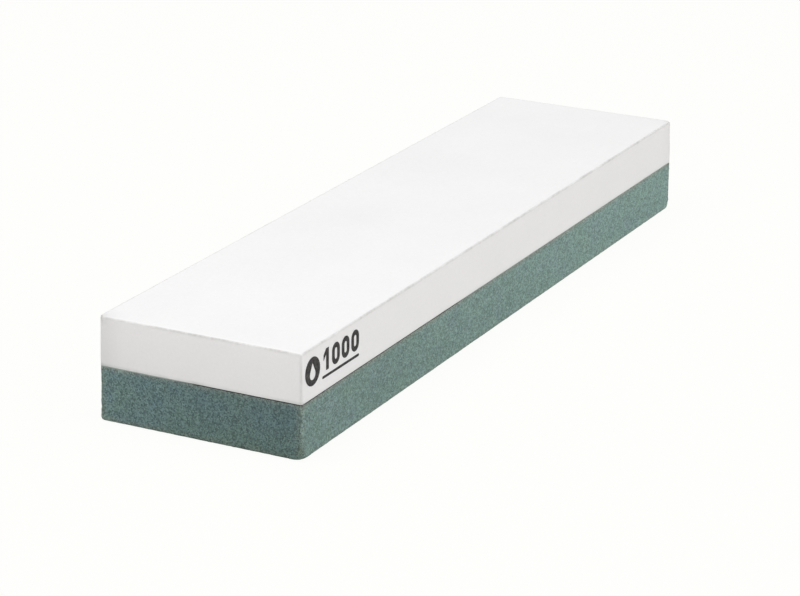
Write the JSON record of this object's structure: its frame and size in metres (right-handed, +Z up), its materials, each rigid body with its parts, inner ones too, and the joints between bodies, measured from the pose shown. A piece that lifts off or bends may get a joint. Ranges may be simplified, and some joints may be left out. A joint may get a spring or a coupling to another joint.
{
  "type": "sharpening whetstone",
  "caption": "Rectangular bench whetstone: a coarse green grit slab bonded under a fine white one, for sharpening knives and carving tools; lies flat on either face.",
  "frame": {"origin": "centre of the coarse face that the stone rests on, at the middle of the bounding box's underside", "axes": "+X along the length, away from the printed end; +Y across the width, away from the printed long side; +Z up, from the coarse face to the fine face"},
  "size_m": [0.2, 0.05, 0.0243],
  "materials": {
    "coarse_grit": "open-grained vitrified silicon carbide, green with lighter and darker grains, fully matt",
    "fine_grit": "fine-grained vitrified white alumina, matt and almost smooth, edges very slightly grey",
    "adhesive": "dark cured adhesive film, visible only as a thin line round the joint",
    "ink": "thin black pad-printed ink, matt, slightly broken by the grain under it"
  },
  "bodies": {
    "root": {"coarse_stone": "coarse_grit", "bond_layer": "adhesive", "fine_stone": "fine_grit", "print_disc": "ink", "print_one": "ink", "print_zero_1": "ink", "print_zero_2": "ink", "print_zero_3": "ink", "print_rule": "ink"}
  },
  "joints": []
}
